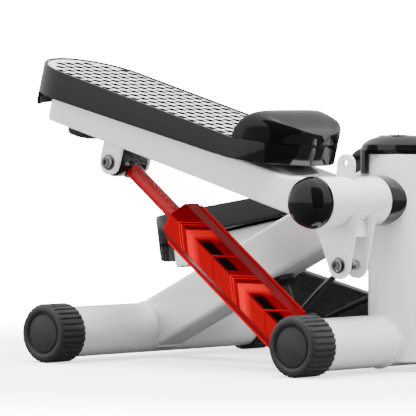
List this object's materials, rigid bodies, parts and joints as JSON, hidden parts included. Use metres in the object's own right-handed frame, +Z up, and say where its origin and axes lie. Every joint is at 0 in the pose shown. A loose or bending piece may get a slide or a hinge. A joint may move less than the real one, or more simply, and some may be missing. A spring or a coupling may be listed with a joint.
{
  "type": "mini stepper",
  "caption": "Compact pedal stepper: foot pedals swing on one axle, tied by a cable round a pulley, each with a damper below, on a cross tube base with a column and console.",
  "frame": {"origin": "on the floor, at the middle of the outline", "axes": "+X towards the toes and the column, +Y to the user's left, +Z up"},
  "size_m": [0.4192, 0.3166, 0.289],
  "materials": {
    "white_paint": "glossy powder coat",
    "black_gloss_plastic": "polished moulding",
    "black_matt_plastic": "fine moulded grain",
    "black_rubber": "moulded ribs",
    "zinc_steel": "zinc plated",
    "chrome": "polished",
    "barrel_steel": "black paint",
    "red_shell": "polished moulding",
    "black_shell": "polished moulding",
    "tread_silver": "stamped sheet",
    "bronze": "sintered",
    "lens": "clear window over a grey display",
    "red_button": "moulded",
    "board": "solder mask"
  },
  "bodies": {
    "base": {"front_cross_tube": "white_paint", "rear_cross_tube": "white_paint", "column": "white_paint", "main_beam": "white_paint", "front_cap_right": "black_rubber", "front_cap_left": "black_rubber", "rear_cap_right": "black_rubber", "rear_cap_left": "black_rubber", "pivot_axle": "zinc_steel", "axle_screw_right": "zinc_steel", "pivot_spacer_right": "black_gloss_plastic", "damper_lug_right": "white_paint", "damper_bolt_right": "zinc_steel", "axle_screw_left": "zinc_steel", "pivot_spacer_left": "black_gloss_plastic", "damper_lug_left": "white_paint", "damper_bolt_left": "zinc_steel", "pulley_bracket": "black_matt_plastic", "cable_right": "black_matt_plastic", "cable_left": "black_matt_plastic", "console_housing": "black_gloss_plastic", "console_cover": "black_gloss_plastic", "display_lens": "lens", "circuit_board": "board"},
    "right_pedal": {"pedal_arm_right": "white_paint", "pivot_sleeve_right": "white_paint", "outer_bushing_right": "bronze", "inner_bushing_right": "bronze", "sleeve_cap_right": "black_gloss_plastic", "cable_lug_right": "white_paint", "cable_bolt_right": "zinc_steel", "band_ear_right": "white_paint", "damper_clevis_right": "white_paint", "clevis_bolt_right": "zinc_steel", "footplate_right": "black_gloss_plastic", "tread_plate_right": "tread_silver", "toe_cap_right": "black_gloss_plastic", "bumper_right": "black_rubber"},
    "right_damper": {"damper_barrel_right": "barrel_steel", "damper_shell_right": "red_shell"},
    "right_rod": {"piston_rod_right": "chrome"},
    "left_pedal": {"pedal_arm_left": "white_paint", "pivot_sleeve_left": "white_paint", "outer_bushing_left": "bronze", "inner_bushing_left": "bronze", "sleeve_cap_left": "black_gloss_plastic", "cable_lug_left": "white_paint", "cable_bolt_left": "zinc_steel", "band_ear_left": "white_paint", "damper_clevis_left": "white_paint", "clevis_bolt_left": "zinc_steel", "footplate_left": "black_gloss_plastic", "tread_plate_left": "tread_silver", "toe_cap_left": "black_gloss_plastic", "bumper_left": "black_rubber"},
    "left_damper": {"damper_barrel_left": "barrel_steel", "damper_shell_left": "black_shell"},
    "left_rod": {"piston_rod_left": "chrome"},
    "pulley": {"cable_pulley": "black_matt_plastic"},
    "button": {"mode_button": "red_button"}
  },
  "joints": [
    {"name": "right_pedal_swing", "type": "hinge", "parent": "base", "child": "right_pedal", "pos_m": [0.1688, -0.09, 0.157], "axis": [0, 1, 0], "range_deg": [-28.2, 3.7], "deforming": ["cable_right"]},
    {"name": "left_pedal_swing", "type": "hinge", "parent": "base", "child": "left_pedal", "pos_m": [0.1688, 0.09, 0.157], "axis": [0, 1, 0], "range_deg": [-3.7, 28.2], "deforming": ["cable_left"]},
    {"name": "right_damper_tilt", "type": "hinge", "parent": "base", "child": "right_damper", "pos_m": [0.1168, -0.09, 0.026], "axis": [0, 1, 0], "range_deg": [-27.11, 3.6]},
    {"name": "left_damper_tilt", "type": "hinge", "parent": "base", "child": "left_damper", "pos_m": [0.1168, 0.09, 0.026], "axis": [0, 1, 0], "range_deg": [-3.65, 27.52]},
    {"name": "right_rod_slide", "type": "slide", "parent": "right_damper", "child": "right_rod", "axis": [-0.8012, 0, 0.5983], "range_m": [-0.06868, 0.0091]},
    {"name": "left_rod_slide", "type": "slide", "parent": "left_damper", "child": "left_rod", "axis": [-0.9742, 0, 0.2258], "range_m": [-0.00911, 0.06876]},
    {"name": "pulley_spin", "type": "hinge", "parent": "base", "child": "pulley", "pos_m": [0.0358, 0, 0.034], "axis": [-0.4305, 0, 0.9026], "range_deg": [-10.84, 81.99]},
    {"name": "mode_button_press", "type": "slide", "parent": "base", "child": "button", "axis": [0, 0, 1], "range_m": [-0.0012, 0], "stiffness_N_per_m": 400}
  ],
  "couplings": [
    {"joint": "left_pedal_swing", "follows": "right_pedal_swing", "ratio": -1},
    {"joint": "right_damper_tilt", "follows": "right_pedal_swing", "ratio": 0.9595},
    {"joint": "left_damper_tilt", "follows": "right_pedal_swing", "ratio": -0.974},
    {"joint": "right_rod_slide", "follows": "right_pedal_swing", "m_per_rad": 0.13933},
    {"joint": "left_rod_slide", "follows": "right_pedal_swing", "m_per_rad": -0.1395},
    {"joint": "pulley_spin", "follows": "right_pedal_swing", "ratio": -2.904}
  ]
}
